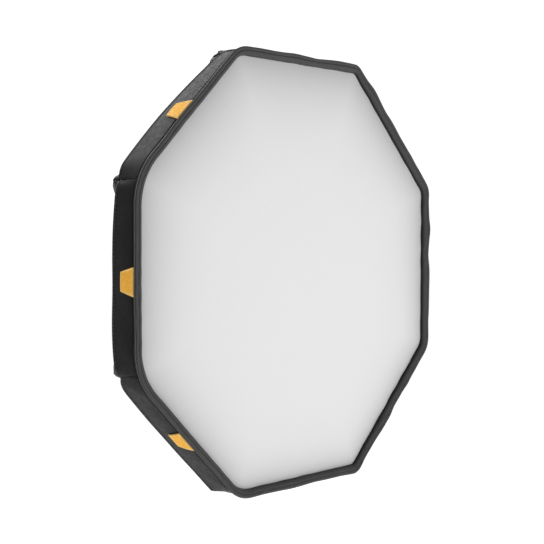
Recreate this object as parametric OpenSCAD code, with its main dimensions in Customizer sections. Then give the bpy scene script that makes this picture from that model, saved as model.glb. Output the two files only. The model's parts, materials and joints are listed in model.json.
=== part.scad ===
// Folding octagonal studio softbox. Modelled with the light axis along local z,
// front towards local +z, then turned so that the front faces -Y and +Z is up.
// The origin is on the axis, on the seat where the light head meets the mount.

/* [Front] */
// Distance between opposite flat sides
across_flats = 563.6; // [480:0.2:640]
// Distance from the light seat to the diffuser cloth
face_z = 238; // [225:1:260]
// Depth of the flat side band behind the diffuser cloth
band_depth = 40; // [25:1:55]
// Width of the dark binding around the white cloth
rim_w = 10; // [8:0.2:16]
// Overhang of the binding's front lip past the side band
rim_over = 2.6; // [2.6:0.1:4]
// How far the binding stands in front of the white cloth
rim_proud = 6; // [3:0.5:10]
// Corner radius of the binding and the cloth
corner_r = 50; // [20:1:80]

/* [Fabric] */
// Thickness of the canopy, band and diffuser cloth solids
cloth_t = 1.2; // [0.8:0.1:2]
// Depth of the hook tape behind the binding
tape_depth = 22; // [15:1:26]

/* [Pull tabs] */
// Width of a tab where it is sewn to the binding
tab_root_w = 34; // [24:1:45]
// Width of a tab at its free end
tab_end_w = 22.5; // [14:0.5:30]
// Length of a tab
tab_len = 29; // [20:1:34]

/* [Ribs] */
// Diameter of a rib
rib_d = 5; // [4:0.5:6]
// Length of a rib from its hinge pin to its tip
rib_len = 286; // [270:1:288]
// Radius of the circle of rib hinge pins
hinge_r = 66; // [65:0.5:68]
// Distance of the rib hinge pins from the light seat
hinge_z = 15; // [14:0.5:16]
// Diameter of a hinge pin
pin_d = 3; // [2.5:0.5:3.5]

/* [Light mount] */
// Radius of the bore that takes the front tube of the light head
bore_r = 43; // [40:0.5:44]
// Radius of the sleeve that the hub turns on
sleeve_r = 51; // [50:0.5:52]
// Length of the bayonet spigot behind the seat
spigot_len = 14; // [10:1:18]
// Outer radius of the hub
hub_r = 78; // [77:0.5:80]

/* [Lock knob] */
// Diameter of the lock knob
knob_d = 17; // [14:0.5:19]
// Distance of the lock screw from the light seat
screw_z = 12; // [11.5:0.5:12.5]

/* [Hidden] */
sides = 8;
step_a = 360 / sides;
half_a = step_a / 2;
facets = 96;
small_facets = 32;
run_gap = 0.05;
ease = 0.3;

apothem = across_flats / 2;
face_apothem = apothem - rim_w;
rim_z = face_z + rim_proud;
band_z0 = face_z - band_depth;
rim_z0 = face_z;
band_front = rim_z0 - ease;
tape_apothem = apothem - cloth_t - 0.8;

// Hub, from the light seat forwards
flange_t = 5;
flange_r = 62;
washer_t = 1;
hub_z0 = flange_t + washer_t + run_gap;
hub_z1 = 24;
hub_step_z = 21.6;
sleeve_z1 = 22;
retainer_t = 3;
retainer_r = 57.5;
retainer_screws = 6;
slot_w = 9;
slot_floor = 8.5;
slot_r = 59.5;
lug_r = 52;
lug_t = 4;
spigot_r = 47.5;
lug_angle = 38;
lugs = 3;

// Canopy edge at the hub
collar_r = hub_r + 0.3;
collar_t = 1.4;
collar_z0 = 6.2;
collar_z1 = 17;
head_z = 5 + ease + collar_t + run_gap;
gore_r0 = collar_r + collar_t + 0.3;
gore_z0 = 18;
gore_r1 = apothem - 0.8;
gore_z1 = band_z0 - ease - 0.4;
gore_tilt = atan2(gore_r1 - gore_r0, gore_z1 - gore_z0);
gore_len = norm([gore_r1 - gore_r0, gore_z1 - gore_z0]);
seam_gap = 0.7;

// Rib direction when open: its tip lies just inside the corner seam
seam_r0 = gore_r0 / cos(half_a);
seam_tilt = atan2((gore_r1 - gore_r0) / cos(half_a), gore_z1 - gore_z0);
seam_inset = 6;
hinge_inset = (seam_r0 - hinge_r) * cos(seam_tilt) - (gore_z0 - hinge_z) * sin(seam_tilt);
rib_tilt = seam_tilt + asin((hinge_inset - seam_inset) / rib_len);
socket_r = 4.2;
socket_len = 32;
rib_start = 9;
barrel_r = 5.5;
barrel_w = slot_w - 0.8;
pin_len = 23;

// Tabs
tab_clear = 0.4;
bead_r = 1.1;
bead_apothem = apothem + tab_clear + bead_r;
bead_z = rim_z0 + 1.2;
lip_z = bead_z + bead_r + ease;

// Lock screw and knob, on the underside
lock_side = 7;
screw_d = 6;
bush_d = 9.4;
bush_r0 = 54;
knob_r0 = gore_r0 + 4;
knob_len = 18;
knob_flutes = 10;

// Octagon with flat sides towards 0, 45, 90... degrees and rounded corners
function rounded_octagon(flat, round, steps = 5) = [
    for (i = [0:sides - 1], k = [0:steps])
        let (corner = half_a + step_a * i,
             centre = (flat - round) / cos(half_a),
             a = corner - half_a + step_a * k / steps)
        [centre * cos(corner) + round * cos(a), centre * sin(corner) + round * sin(a)]
];

// Turns the light axis from local z to the row's -Y
module upright() rotate([90, 0, 0]) children();

// Frame of side i, with x pointing out through the middle of its flat
module at_side(i) rotate([0, 0, step_a * (i - 1)]) children();

// Frame of corner i, with x pointing out through the rib
module at_corner(i) rotate([0, 0, step_a * (i - 1) + half_a]) children();

// Lays an XY outline in the YZ plane, with its thickness towards +x
module lay_flat(t) rotate([90, 0, 90]) linear_extrude(t) children();

module tube(r_out, r_in, z0, z1, fn = facets)
    translate([0, 0, z0]) difference() {
        cylinder(r = r_out, h = z1 - z0, $fn = fn);
        translate([0, 0, -1]) cylinder(r = r_in, h = z1 - z0 + 2, $fn = fn);
    }

// A solid sector of a ring, used for the bayonet lugs
module ring_sector(r_out, r_in, z0, z1, angle)
    translate([0, 0, z0])
        rotate([0, 0, -angle / 2])
            rotate_extrude(angle = angle, $fn = facets)
                translate([r_in, 0]) square([r_out - r_in, z1 - z0]);

module retainer_screw_places()
    for (k = [0:retainer_screws - 1])
        rotate([0, 0, 360 / retainer_screws * k])
            translate([(bore_r + sleeve_r) / 2, 0, 0]) children();

module mount_insert() color("silver") upright() difference() {
    union() {
        tube(spigot_r, bore_r, -spigot_len, 0);
        tube(flange_r, bore_r, 0, flange_t);
        tube(sleeve_r, bore_r, flange_t, sleeve_z1);
        for (k = [0:lugs - 1])
            rotate([0, 0, 360 / lugs * k + 90])
                ring_sector(lug_r, spigot_r - 1, -spigot_len, -spigot_len + lug_t, lug_angle);
    }
    retainer_screw_places()
        translate([0, 0, sleeve_z1 - 9]) cylinder(d = 2.5, h = 10, $fn = small_facets);
}

module glide_washer() color("ivory") upright()
    tube(flange_r - 1, sleeve_r + 0.1, flange_t, flange_t + washer_t);

module retaining_ring() color("silver") upright() difference() {
    tube(retainer_r, bore_r, sleeve_z1, sleeve_z1 + retainer_t);
    retainer_screw_places() {
        translate([0, 0, sleeve_z1 - 1]) cylinder(d = 3.2, h = retainer_t + 2, $fn = small_facets);
        translate([0, 0, sleeve_z1 + retainer_t - 1.7])
            cylinder(d1 = 3.2, d2 = 6.6, h = 1.7 + 0.01, $fn = small_facets);
    }
}

module retaining_screws() color("dimgray") upright()
    retainer_screw_places() difference() {
        union() {
            translate([0, 0, sleeve_z1 - 7]) cylinder(d = 2.4, h = 9, $fn = small_facets);
            translate([0, 0, sleeve_z1 + retainer_t - 1.6])
                cylinder(d1 = 2.8, d2 = 6, h = 1.6, $fn = small_facets);
        }
        translate([0, 0, sleeve_z1 + retainer_t - 1.1]) cylinder(d = 2, h = 2, $fn = 6);
    }

module hub_ring() color("dimgray") upright() difference() {
    tube(hub_r, sleeve_r + run_gap, hub_z0, hub_z1);
    translate([0, 0, hub_step_z]) cylinder(r = retainer_r + 0.6, h = 5, $fn = facets);
    for (i = [1:sides]) at_corner(i) {
        translate([slot_r, -slot_w / 2, slot_floor]) cube([hub_r, slot_w, hub_z1]);
        translate([hinge_r, 0, hinge_z])
            rotate([90, 0, 0]) cylinder(d = pin_d, h = pin_len + 0.2, center = true, $fn = small_facets);
    }
    for (i = [1:sides]) at_side(i)
        translate([hub_r - 6, 0, (collar_z0 + collar_z1) / 2])
            rotate([0, 90, 0]) if (i != lock_side) cylinder(d = 2.5, h = 8, $fn = small_facets);
    at_side(lock_side) translate([sleeve_r - 1, 0, screw_z]) rotate([0, 90, 0]) {
        cylinder(d = screw_d + 0.6, h = hub_r, $fn = small_facets);
        translate([0, 0, bush_r0 - sleeve_r + 1]) cylinder(d = bush_d, h = hub_r, $fn = small_facets);
    }
}

module hinge_pins() color("silver") upright()
    for (i = [1:sides]) at_corner(i)
        translate([hinge_r, 0, hinge_z])
            rotate([90, 0, 0]) cylinder(d = pin_d, h = pin_len, center = true, $fn = small_facets);

module lock_bush() color("goldenrod") upright() at_side(lock_side)
    translate([bush_r0, 0, screw_z]) rotate([0, 90, 0]) difference() {
        cylinder(d = bush_d, h = hub_r - bush_r0 - 0.6, $fn = small_facets);
        translate([0, 0, -1])
            cylinder(d = screw_d + 2 * run_gap, h = hub_r, $fn = small_facets);
    }

module canopy_collar() color("#202020") upright() difference() {
    rotate([0, 0, half_a]) tube(collar_r + collar_t, hub_r, collar_z0, collar_z1);
    for (i = [1:sides]) at_side(i)
        translate([collar_r - 5, 0, (collar_z0 + collar_z1) / 2])
            rotate([0, 90, 0]) if (i != lock_side) cylinder(d = 3.2, h = 10, $fn = small_facets);
    at_side(lock_side) translate([collar_r - 5, 0, screw_z])
        rotate([0, 90, 0]) cylinder(d = screw_d + 1.4, h = 10, $fn = small_facets);
}

module collar_screws() color("dimgray") upright()
    for (i = [1:sides]) at_side(i)
        translate([hub_r - 5, 0, (collar_z0 + collar_z1) / 2]) rotate([0, 90, 0])
            if (i != lock_side) difference() {
                union() {
                    cylinder(d = 2.4, h = 7, $fn = small_facets);
                    translate([0, 0, head_z]) cylinder(d = 5.6, h = 1.6, $fn = small_facets);
                }
                translate([0, 0, head_z + 0.85]) cylinder(d = 2, h = 2, $fn = 6);
            }

// Frame of rib i, with its origin on the hinge pin and z along the rib
module at_rib(i) at_corner(i) translate([hinge_r, 0, hinge_z]) rotate([0, rib_tilt, 0]) children();

module rib(i) color("silver") upright() at_rib(i) {
    translate([0, 0, rib_start])
        cylinder(d = rib_d, h = rib_len - rib_start, $fn = small_facets);
    translate([0, 0, rib_len]) sphere(d = rib_d + 2, $fn = small_facets);
}

module knuckle(i) color("#303030") upright() at_rib(i) difference() {
    union() {
        rotate([90, 0, 0]) cylinder(r = barrel_r, h = barrel_w, center = true, $fn = small_facets);
        cylinder(r = socket_r - 0.2, h = socket_len, $fn = small_facets);
    }
    rotate([90, 0, 0])
        cylinder(d = pin_d + 2 * run_gap, h = barrel_w + 2, center = true, $fn = small_facets);
    translate([0, 0, rib_start]) cylinder(d = rib_d, h = socket_len, $fn = small_facets);
}

// One sloping panel of the canopy, from the hub collar to the side band
module canopy(i) color("#262626") upright() at_side(i)
    translate([gore_r0, 0, gore_z0]) rotate([0, gore_tilt, 0]) translate([-cloth_t, 0, 0])
        lay_flat(cloth_t) polygon([
            [-gore_r0 * tan(half_a) + seam_gap, 0],
            [gore_r0 * tan(half_a) - seam_gap, 0],
            [gore_r1 * tan(half_a) - seam_gap, gore_len],
            [-gore_r1 * tan(half_a) + seam_gap, gore_len]]);

// One flat panel of the side band
module band(i) color("#303030") upright() at_side(i)
    translate([apothem - cloth_t, -apothem * tan(half_a) + seam_gap, band_z0])
        cube([cloth_t, 2 * (apothem * tan(half_a) - seam_gap), band_front - band_z0]);

module diffuser_cloth() color("white") upright()
    translate([0, 0, face_z - cloth_t / 2])
        linear_extrude(cloth_t) polygon(rounded_octagon(face_apothem, corner_r));

// The tabs are tucked in behind the lip, which overhangs the side band
module rim_binding() color("#404040") upright() difference() {
    union() {
        translate([0, 0, rim_z0])
            linear_extrude(rim_proud) polygon(rounded_octagon(apothem, corner_r + rim_w));
        translate([0, 0, lip_z])
            linear_extrude(rim_z - lip_z)
                polygon(rounded_octagon(apothem + rim_over, corner_r + rim_w + rim_over));
    }
    translate([0, 0, rim_z0 - 1])
        linear_extrude(rim_proud + 2) polygon(rounded_octagon(face_apothem, corner_r));
}

// The tape's back wall and the return that joins it to the binding and the cloth
module hook_tape() color("#181818") upright() difference() {
    translate([0, 0, rim_z0 - tape_depth])
        linear_extrude(tape_depth) polygon(rounded_octagon(tape_apothem, corner_r + rim_w - 2));
    translate([0, 0, rim_z0 - tape_depth - 1])
        linear_extrude(tape_depth + 2)
            polygon(rounded_octagon(tape_apothem - cloth_t, corner_r + rim_w - 2 - cloth_t));
}

module pull_tab(i) color("orange") upright() at_side(i) {
    translate([apothem + tab_clear, 0, bead_z]) lay_flat(cloth_t) polygon([
        [-tab_root_w / 2, 0],
        [tab_root_w / 2, 0],
        [tab_end_w / 2, -tab_len],
        [-tab_end_w / 2, -tab_len]]);
    translate([bead_apothem, 0, bead_z]) rotate([90, 0, 0])
        cylinder(r = bead_r, h = tab_root_w, center = true, $fn = small_facets);
}

module lock_knob() color("#202020") upright() at_side(lock_side)
    translate([knob_r0, 0, screw_z]) rotate([0, 90, 0]) difference() {
        union() {
            cylinder(d1 = knob_d - 5, d2 = knob_d, h = 4, $fn = small_facets);
            translate([0, 0, 4]) cylinder(d = knob_d, h = knob_len - 4, $fn = small_facets);
        }
        for (k = [0:knob_flutes - 1]) rotate([0, 0, 360 / knob_flutes * k])
            translate([knob_d / 2 + 1, 0, 3]) cylinder(r = 2, h = knob_len, $fn = small_facets);
        translate([0, 0, -1]) cylinder(d = screw_d, h = 11, $fn = small_facets);
    }

module lock_screw() color("silver") upright() at_side(lock_side)
    translate([sleeve_r + ease, 0, screw_z]) rotate([0, 90, 0])
        cylinder(d = screw_d, h = knob_r0 + 10 - sleeve_r - ease, $fn = small_facets);

mount_insert();
glide_washer();
retaining_ring();
retaining_screws();
hub_ring();
hinge_pins();
lock_bush();
canopy_collar();
collar_screws();
for (i = [1:sides]) {
    rib(i);
    knuckle(i);
    canopy(i);
    band(i);
    pull_tab(i);
}
diffuser_cloth();
rim_binding();
hook_tape();
lock_knob();
lock_screw();
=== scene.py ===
import json
import math

import bpy
import numpy as np
from mathutils import Matrix, Vector

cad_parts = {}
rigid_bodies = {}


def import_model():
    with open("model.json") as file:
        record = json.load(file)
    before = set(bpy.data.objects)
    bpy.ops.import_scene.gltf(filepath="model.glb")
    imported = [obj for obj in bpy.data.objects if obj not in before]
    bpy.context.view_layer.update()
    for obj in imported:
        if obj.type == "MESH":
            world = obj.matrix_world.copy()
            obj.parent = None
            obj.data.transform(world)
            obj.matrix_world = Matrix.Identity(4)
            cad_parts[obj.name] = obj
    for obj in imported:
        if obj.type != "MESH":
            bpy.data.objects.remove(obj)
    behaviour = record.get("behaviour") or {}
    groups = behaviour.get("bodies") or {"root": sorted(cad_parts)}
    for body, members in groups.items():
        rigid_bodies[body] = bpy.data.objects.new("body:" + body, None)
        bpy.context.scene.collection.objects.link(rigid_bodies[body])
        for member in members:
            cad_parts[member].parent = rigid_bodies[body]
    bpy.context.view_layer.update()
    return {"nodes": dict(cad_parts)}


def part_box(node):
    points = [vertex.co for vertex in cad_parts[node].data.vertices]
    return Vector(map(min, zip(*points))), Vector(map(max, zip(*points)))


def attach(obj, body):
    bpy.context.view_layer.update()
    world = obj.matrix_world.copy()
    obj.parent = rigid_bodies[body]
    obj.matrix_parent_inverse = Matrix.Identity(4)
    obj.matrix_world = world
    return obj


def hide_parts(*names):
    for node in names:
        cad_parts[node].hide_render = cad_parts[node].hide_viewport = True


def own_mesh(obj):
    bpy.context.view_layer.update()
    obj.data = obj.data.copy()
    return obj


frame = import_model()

# ---------------------------------------------------------------------------------------
# Sizes, in metres, taken from the frame. The light axis is the row's -Y. "Depth" counts
# forwards from the light seat, and a point (x, y, depth) is the row's (x, -depth, y).
# ---------------------------------------------------------------------------------------
SIDES = range(1, 9)
STEP = math.pi / 4
HALF = math.pi / 8
MM = 0.001


def depths(node):
    low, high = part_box(node)
    return -high.y, -low.y


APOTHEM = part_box("band_1")[1].x
RIM_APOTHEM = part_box("pull_tab_1")[1].x - 1.0 * MM
FACE_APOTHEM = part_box("diffuser_cloth")[1].x
FACE = sum(depths("diffuser_cloth")) / 2
BAND_BACK, BAND_FRONT = depths("band_1")
TAPE_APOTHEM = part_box("hook_tape")[1].x
TAPE_BACK, TAPE_FRONT = depths("hook_tape")
HUB_EDGE_DEPTH = depths("canopy_1")[0]
COLLAR_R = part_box("canopy_collar")[1].x
HUB_EDGE_R = COLLAR_R + 2.0 * MM
TAB_LOW, TAB_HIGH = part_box("pull_tab_1")
TAB_BACK, TAB_FRONT = depths("pull_tab_1")
TAB_ROOT_W = TAB_HIGH.z - TAB_LOW.z
TAB_END_W = TAB_ROOT_W * 0.66

# Corner radii of the binding's outer edge and of the side wall's back edge, in millimetres.
# Corner i lies between side i and the next one.
CORNER_FRONT = {1: 30, 2: 20, 3: 40, 4: 92, 5: 88, 6: 58, 7: 22, 8: 34}
CORNER_BACK = {1: 26, 2: 26, 3: 30, 4: 62, 5: 34, 6: 9, 7: 22, 8: 26}
CLOTH = 0.7 * MM


def side_angle(i):
    return STEP * (i - 1)


def to_row(points):
    """Points (..., 3) as x, y and depth, in the row frame."""
    p = np.asarray(points, float)
    return np.stack([p[..., 0], -p[..., 2], p[..., 1]], axis=-1)


def turned(x, y, a):
    """x and y after a turn by the angle a."""
    c, s = math.cos(a), math.sin(a)
    return x * c - y * s, x * s + y * c


# ---------------------------------------------------------------------------------------
# Outline of the box and its wrinkles
# ---------------------------------------------------------------------------------------
def radius_at(radii, i, u):
    """Radius in metres of the corner that the point u of side i is nearer to."""
    return np.where(np.asarray(u, float) < 0, radii[(i - 2) % 8 + 1], radii[i]) * MM


def outline(i, u, apothem, corner):
    """A rounded octagon along side i. u runs from -1 to 1, from one corner's middle to the next.
    Returns x, y, and the outward normal's x and y."""
    u, apothem, corner = np.broadcast_arrays(np.asarray(u, float), apothem, corner)
    flat = (apothem - corner) * math.tan(HALF)
    arc = corner * HALF
    along = np.abs(u) * (flat + arc)
    turn = np.clip((along - flat) / np.maximum(corner, 1e-6), 0, HALF)
    x = apothem - corner + corner * np.cos(turn)
    y = np.sign(u) * (np.minimum(along, flat) + corner * np.sin(turn))
    a = side_angle(i)
    n = np.sign(u) * turn
    return *turned(x, y, a), np.cos(a + n), np.sin(a + n)


def smooth_noise(x, seed, octaves=3):
    """A smooth wave of x with a mixed wavelength, from -1 to 1, that repeats when x grows by 8."""
    total, weight = 0.0, 0.0
    for k in range(octaves):
        cycles = seed + 5 * k + k * k
        share = 0.62 ** k
        total = total + share * np.sin(2 * math.pi * cycles * x / 8 + 1.7 * seed + 2.3 * k)
        weight += share
    return total / weight


def ring_place(i, u):
    """Place along the whole outline, growing by 1 for each side."""
    return (i - 1) + (np.asarray(u, float) + 1) / 2


# How far the binding's edge waves on each side: the four far sides are the most puckered.
WAVE = {1: 1.0, 2: 1.1, 3: 0.8, 4: 0.35, 5: 0.3, 6: 0.35, 7: 0.6, 8: 1.0}


# How far the binding of each side hangs out from its straight line, in millimetres
HANG = {1: 2.1, 2: 1.0, 3: -1.0, 4: 0.0, 5: 0.0, 6: -0.4, 7: -1.2, 8: 0.8}


def around(values, place):
    """A value given for each side's middle, smooth across the corners between them."""
    p = np.asarray(place, float) - 0.5
    low = np.floor(p).astype(int)
    f = p - low
    f = f * f * (3 - 2 * f)
    each = np.array([values[i] for i in SIDES])
    return each[low % 8] * (1 - f) + each[(low + 1) % 8] * f


def rim_wave(place):
    """In-plane wave of the binding's outer edge, in metres. The tabs under it lift it a little."""
    middle = np.abs((np.asarray(place, float) % 1) - 0.5) * 2
    wave = 1.5 * around(WAVE, place) * smooth_noise(place, 17) + around(HANG, place)
    return (wave + 0.6 * np.exp(-((middle / 0.2) ** 4))) * MM


def rim_lift(place):
    """Wave of the binding towards the front, in metres."""
    return 1.0 * MM * around(WAVE, place) * smooth_noise(place, 23)


# Outward bulge of each side wall: (place of the peak along the side, height in mm)
BULGE = {1: (0.0, 1.6), 2: (0.1, 1.6), 3: (-0.1, 2.0), 4: (0.4, 3.2), 5: (0.0, 1.0),
         6: (-0.1, 1.8), 7: (0.0, 1.2), 8: (0.0, 1.6)}

# How each end of a side wall is drawn in at its corner seam, at u -1 and at u 1, in millimetres:
# (the back edge comes forwards, over this length; the wall is pinched inwards, over this length;
# 1 if the pinch begins right behind the binding; how far the end reaches past its corner)
EASY = (5, 30, 1.5, 12, 0, 0)
DRAWN = {1: (EASY, EASY), 2: (EASY, EASY), 3: (EASY, (6, 12, 0.5, 10, 0, 0)),
         4: ((13, 60, 9, 10, 0, 0), (1, 40, 3, 12, 0, 0)), 5: ((6, 45, 4, 5, 0, 0), (3, 20, 1.5, 6, 0, 0)),
         6: ((7, 14, 4.5, 16, 0, 0), (0, 20, 0, 14, 1, -5.5)),
         7: ((2, 30, 4.2, 60, 1, 3.8), EASY), 8: (EASY, EASY)}


def wall_bulge(i, u, v):
    """Outward bulge of side wall i, where v is 0 at the front and 1 at the back edge."""
    peak, height = BULGE[i]
    along = np.clip(1 - np.abs(u) ** 4, 0, 1) * np.exp(-((u - peak) / 0.9) ** 2)
    across = np.sin(math.pi * np.clip(v, 0, 1) * 0.72) ** 0.8
    return height * MM * along * across


def drawn_in(i, u, v):
    """How far side wall i comes forwards (at its back edge), inwards and sideways (at v) near its
    ends, in metres."""
    half = APOTHEM * math.tan(HALF) / MM
    forward, inward, along = 0.0, 0.0, 0.0
    for sign, (f, f_length, p, p_length, early, past) in zip((-1, 1), DRAWN[i]):
        gone = np.clip(1 - sign * np.asarray(u, float), 0, None) * half
        grow = np.clip(v / 0.12, 0, 1) * (1.45 - 0.45 * v) if early else v ** 1.5
        forward = forward + f * np.exp(-((gone / f_length) ** 2))
        inward = inward + p * np.exp(-((gone / p_length) ** 2)) * grow
        along = along + sign * past * np.exp(-((gone / 28) ** 2)) * grow
    return forward * MM, inward * MM, along * MM


# ---------------------------------------------------------------------------------------
# Meshes from grids of points
# ---------------------------------------------------------------------------------------
def new_object(name, vertices, faces, cloth=None, slots=None, values=None, smooth=True):
    """A mesh object. cloth holds each vertex's place on the flat cloth, in metres."""
    mesh = bpy.data.meshes.new(name)
    mesh.from_pydata([tuple(v) for v in vertices], [], faces)
    if cloth is not None:
        layer = mesh.attributes.new("cloth", "FLOAT_VECTOR", "POINT")
        flat = np.zeros((len(vertices), 3), np.float32)
        flat[:, : cloth.shape[1]] = cloth
        layer.data.foreach_set("vector", flat.ravel())
    for key, data in (values or {}).items():
        layer = mesh.attributes.new(key, "FLOAT", "POINT")
        layer.data.foreach_set("value", np.asarray(data, np.float32))
    mesh.polygons.foreach_set("use_smooth", [smooth] * len(mesh.polygons))
    if slots is not None:
        mesh.polygons.foreach_set("material_index", slots)
    mesh.update()
    made = bpy.data.objects.new(name, mesh)
    bpy.context.scene.collection.objects.link(made)
    return made


def grid_faces(rows, columns, closed=False, offset=0, flip=False):
    """Quads of a grid of points whose index is row * columns + column."""
    faces = []
    last = columns if closed else columns - 1
    for r in range(rows - 1):
        for c in range(last):
            d = (c + 1) % columns
            quad = [r * columns + c, r * columns + d, (r + 1) * columns + d, (r + 1) * columns + c]
            faces.append([offset + k for k in (quad[::-1] if flip else quad)])
    return faces


def grid_normals(p, closed=False):
    """Unit normals of a grid of points (rows, columns, 3)."""
    if closed:
        across = np.roll(p, -1, axis=1) - np.roll(p, 1, axis=1)
    else:
        across = np.gradient(p, axis=1)
    down = np.gradient(p, axis=0)
    n = np.cross(across, down)
    return n / np.maximum(np.linalg.norm(n, axis=-1, keepdims=True), 1e-12)


def shell(name, points, cloth, thickness, inside_slot=1, closed=False, values=None, out=None):
    """A sheet of cloth with an outer and an inner face. points is (rows, columns, 3) in the row
    frame and is the outer face; out is a vector that says which way is outwards."""
    rows, columns = points.shape[:2]
    normal = grid_normals(points, closed)
    flip = out is not None and float((normal * out).sum(-1).mean()) < 0
    if flip:
        normal = -normal
    inner = points - normal * thickness
    count = rows * columns
    faces = grid_faces(rows, columns, closed, 0, flip)
    slots = [0] * len(faces)
    back = grid_faces(rows, columns, closed, count, not flip)
    faces += back
    slots += [inside_slot] * len(back)
    border = len(faces)
    loops = []
    if closed:
        loops.append([(0, c) for c in range(columns)])
        loops.append([(rows - 1, c) for c in range(columns)][::-1])
    else:
        loops.append([(0, c) for c in range(columns)] + [(r, columns - 1) for r in range(1, rows)]
                     + [(rows - 1, c) for c in range(columns - 2, -1, -1)]
                     + [(r, 0) for r in range(rows - 2, 0, -1)])
    for loop in loops:
        ids = [r * columns + c for r, c in loop]
        for k, a in enumerate(ids):
            b = ids[(k + 1) % len(ids)]
            quad = [b, a, a + count, b + count]
            faces.append(quad[::-1] if flip else quad)
            slots.append(0)
    vertices = np.concatenate([points.reshape(-1, 3), inner.reshape(-1, 3)])
    flat = np.concatenate([cloth.reshape(count, -1)] * 2)
    both = {k: np.concatenate([np.asarray(v).ravel()] * 2) for k, v in (values or {}).items()}
    made = new_object(name, vertices, faces, flat, slots, both)
    smooth = [k < border for k in range(len(faces))]
    made.data.polygons.foreach_set("use_smooth", smooth)
    return made


def looped(points):
    """A row of points with its first point again at its end."""
    return np.concatenate([points, points[:1]])


def join_in(target, pieces):
    """Joins mesh objects into target, keeping their materials."""
    for o in bpy.context.scene.objects:
        o.select_set(False)
    for o in pieces:
        o.select_set(True)
    target.select_set(True)
    bpy.context.view_layer.objects.active = target
    bpy.ops.object.join()
    return target


# A stitch's section along its length: share of the length, share of the thread's radius
STITCH_SHAPE = ((0, 0.25), (0.15, 0.85), (0.5, 1.0), (0.85, 0.85), (1, 0.25))


def stitches(name, path, normals, length, gap, radius, material, lift=0.25):
    """A row of thread stitches along a path of points: a small rounded bead for each stitch."""
    path = np.asarray(path, float)
    steps = np.linalg.norm(np.diff(path, axis=0), axis=1)
    at = np.concatenate([[0], np.cumsum(steps)])
    normals = np.asarray(normals, float)
    vertices, faces = [], []
    count = int(at[-1] // (length + gap))
    ring = 6
    for k in range(count):
        begin = k * (length + gap) + gap / 2
        base = len(vertices)
        for share, size in STITCH_SHAPE:
            where = begin + share * length
            p = np.array([np.interp(where, at, path[:, d]) for d in range(3)])
            n = np.array([np.interp(where, at, normals[:, d]) for d in range(3)])
            n /= np.linalg.norm(n)
            ahead = np.array([np.interp(where + 1e-4, at, path[:, d]) for d in range(3)])
            behind = np.array([np.interp(where - 1e-4, at, path[:, d]) for d in range(3)])
            t = ahead - behind
            t /= max(np.linalg.norm(t), 1e-12)
            b = np.cross(t, n)
            middle = p + n * radius * (lift + 0.5 * math.sin(math.pi * share))
            for m in range(ring):
                w = 2 * math.pi * m / ring
                vertices.append(middle + size * radius * (b * math.cos(w) + 0.7 * n * math.sin(w)))
        faces += grid_faces(5, ring, True, base)
        faces.append([base + m for m in range(ring)])
        faces.append([base + 4 * ring + m for m in range(ring)][::-1])
    if not vertices:
        return None
    made = new_object(name, vertices, faces)
    made.data.materials.append(material)
    return made


def bead(name, path, radius, material, ring=8):
    """A round cord along an open path of points."""
    path = np.asarray(path, float)
    along = np.gradient(path, axis=0)
    along /= np.linalg.norm(along, axis=1, keepdims=True)
    side = np.cross(along, (0.0, 1.0, 0.0))
    side /= np.linalg.norm(side, axis=1, keepdims=True)
    up = np.cross(side, along)
    w = np.linspace(0, 2 * math.pi, ring, endpoint=False)
    spokes = side[:, None] * np.cos(w)[None, :, None] + up[:, None] * np.sin(w)[None, :, None]
    rings = path[:, None] + radius * spokes
    faces = grid_faces(len(path), ring, True, flip=True)
    last = (len(path) - 1) * ring
    faces += [list(range(ring)), [last + k for k in range(ring)][::-1]]
    made = new_object(name, rings.reshape(-1, 3), faces)
    made.data.materials.append(material)
    return made


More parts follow.
